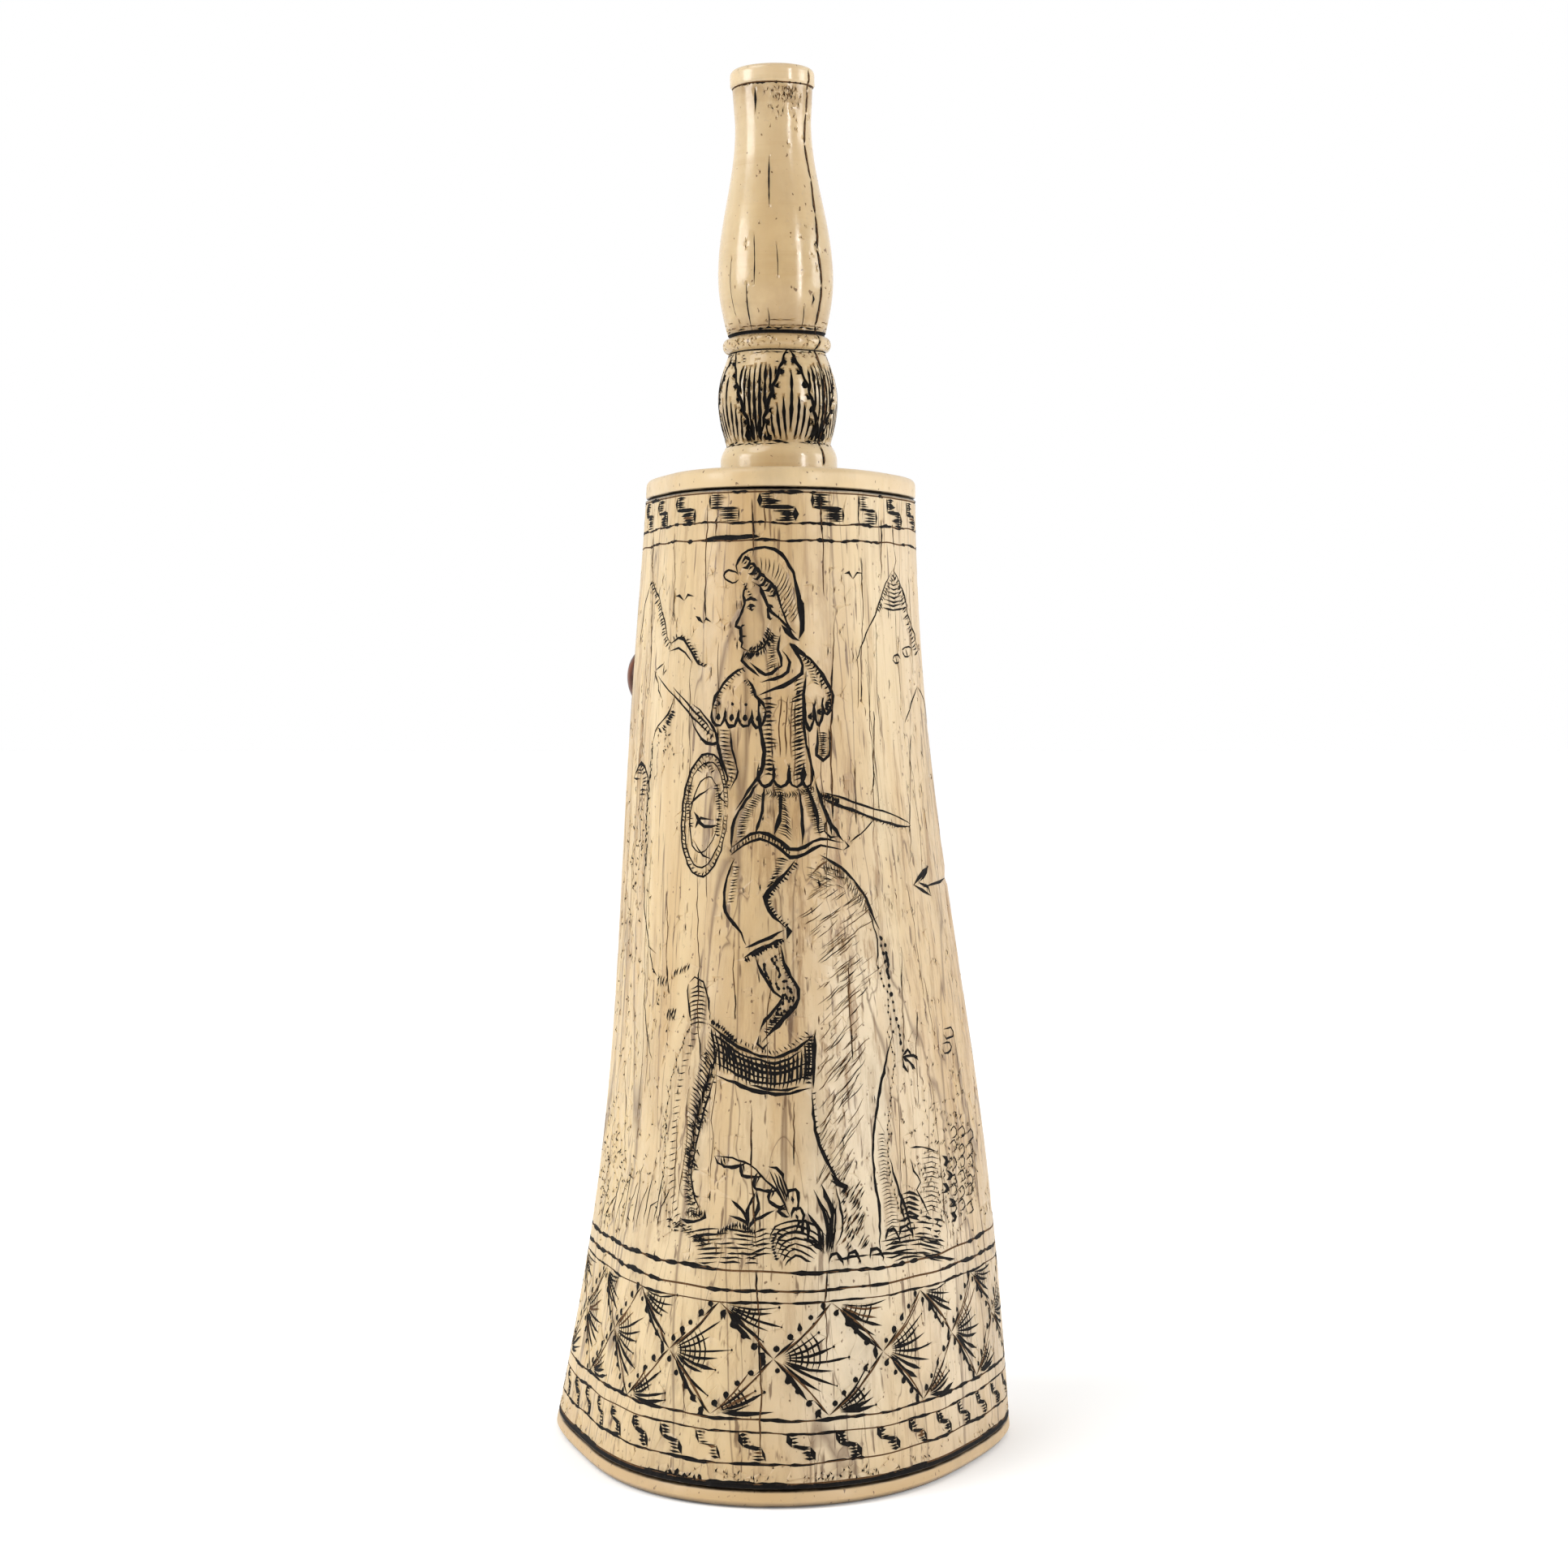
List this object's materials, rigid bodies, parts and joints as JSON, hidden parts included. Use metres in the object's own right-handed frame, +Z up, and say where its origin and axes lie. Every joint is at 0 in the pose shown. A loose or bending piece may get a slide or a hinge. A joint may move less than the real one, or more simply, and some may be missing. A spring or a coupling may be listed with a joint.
{
  "type": "engraved bone flask",
  "caption": "Hollow flared bone flask with a rounded three-cornered section, flat end plates, a turned spout with a carved bulb, and a dark side peg.",
  "frame": {"origin": "middle of the section on the underside of the base plate", "axes": "+Z up along the shaft towards the spout, the side with the soft front ridge faces -Y"},
  "size_m": [0.0648, 0.0729, 0.1924],
  "materials": {
    "bone_body": "aged bone, satin, with vertical grain, dark inked engraving",
    "bone_plate": "aged bone, satin, with small dark pores",
    "bone_spout": "polished turned bone with dark inked carving and fine cracks",
    "dark_horn": "polished dark horn"
  },
  "bodies": {
    "root": {"base_plate": "bone_plate", "flask_body": "bone_body", "top_plate": "bone_plate", "spout": "bone_spout", "side_peg": "dark_horn"}
  },
  "joints": []
}
